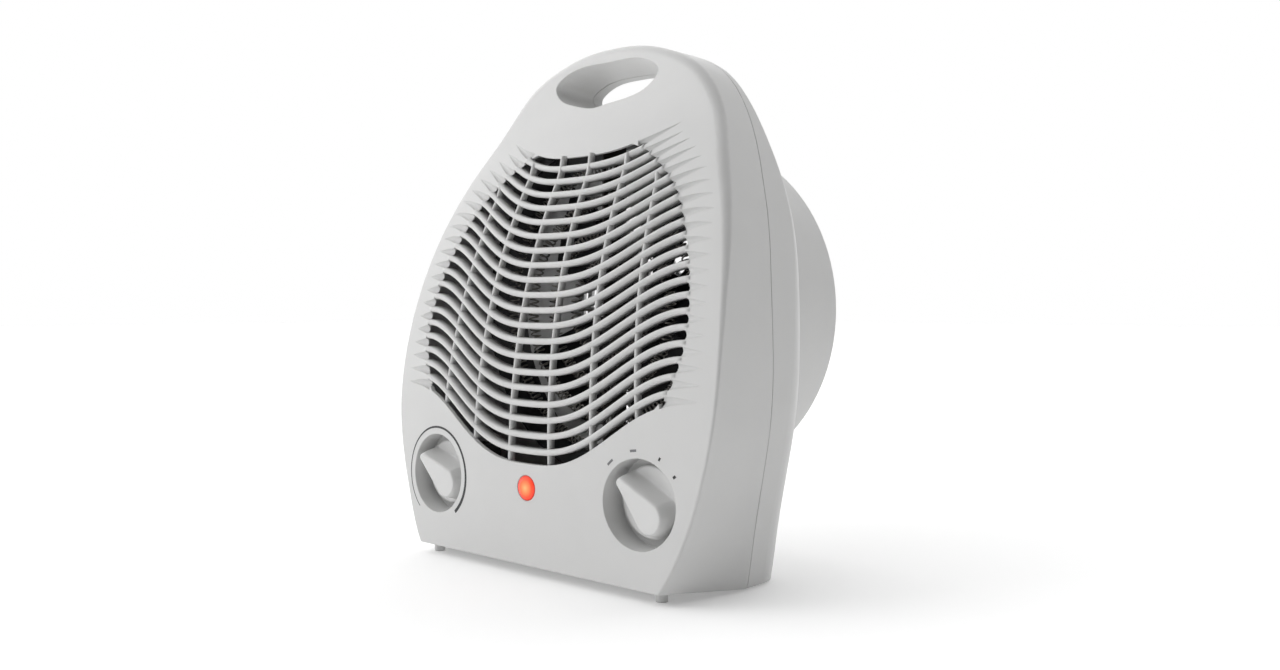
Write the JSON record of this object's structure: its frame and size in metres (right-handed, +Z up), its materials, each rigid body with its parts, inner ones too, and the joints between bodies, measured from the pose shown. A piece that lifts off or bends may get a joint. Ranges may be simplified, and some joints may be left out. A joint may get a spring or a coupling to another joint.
{
  "type": "fan heater",
  "caption": "Upright portable fan heater with a leaning egg-shaped louvred face, two rotary knobs, a carrying slot and a round rear fan barrel.",
  "frame": {"origin": "centre of the overall footprint, on the ground under the feet", "axes": "+Z up, the louvred face looks along -Y, +X is the selector knob's side"},
  "size_m": [0.212, 0.1297, 0.258],
  "materials": {
    "white_case": "satin moulded white",
    "white_knob": "satin moulded white",
    "lamp_lens": "translucent orange-red",
    "lamp_glass": "clear",
    "black_plastic": "black moulded",
    "mica": "pressed mica board",
    "coil_wire": "resistance wire",
    "steel": "zinc plated",
    "frame_steel": "dark heat-resistant",
    "fan_plastic": "dark moulded",
    "rubber": "light grey",
    "copper": "wound copper",
    "ferrite": "ferrite",
    "terminal_white": "moulded"
  },
  "bodies": {
    "housing": {"front_cover": "white_case", "front_grille": "white_case", "rear_cover": "white_case", "rear_grille": "white_case", "front_feet": "white_case", "rear_feet": "rubber", "housing_screws": "steel", "thermostat_body": "black_plastic", "selector_switch": "black_plastic", "pilot_lens": "lamp_lens", "pilot_lamp": "lamp_glass", "lamp_holder": "white_case", "element_frame": "frame_steel", "element_screws": "steel", "heating_coils": "coil_wire", "mica_board_upright": "mica", "mica_board_cross": "mica", "thermal_cutout": "black_plastic", "thermal_fuse": "steel", "motor_can": "steel", "motor_end_cap": "black_plastic", "motor_magnets": "ferrite", "motor_mount": "white_case", "mount_screws": "steel", "motor_screws": "steel", "cord_gland": "black_plastic", "cord_clamp": "white_case", "clamp_screws": "steel", "terminal_block": "terminal_white"},
    "thermostat_dial": {"thermostat_knob": "white_knob", "thermostat_shaft": "steel"},
    "selector_dial": {"selector_knob": "white_knob", "selector_shaft": "steel"},
    "fan_rotor": {"fan": "fan_plastic", "fan_clip": "steel", "motor_shaft": "steel", "motor_armature": "copper", "motor_commutator": "copper"}
  },
  "joints": [
    {"name": "thermostat_turn", "type": "hinge", "parent": "housing", "child": "thermostat_dial", "pos_m": [-0.0685, -0.0542, 0.042], "axis": [0, 1, 0], "range_deg": [-90, 208]},
    {"name": "selector_turn", "type": "hinge", "parent": "housing", "child": "selector_dial", "pos_m": [0.0685, -0.0542, 0.042], "axis": [0, 1, 0], "range_deg": [0, 112]},
    {"name": "fan_spin", "type": "hinge", "parent": "housing", "child": "fan_rotor", "pos_m": [0, 0.0266, 0.1254], "axis": [0, 1, 0], "continuous": true}
  ]
}
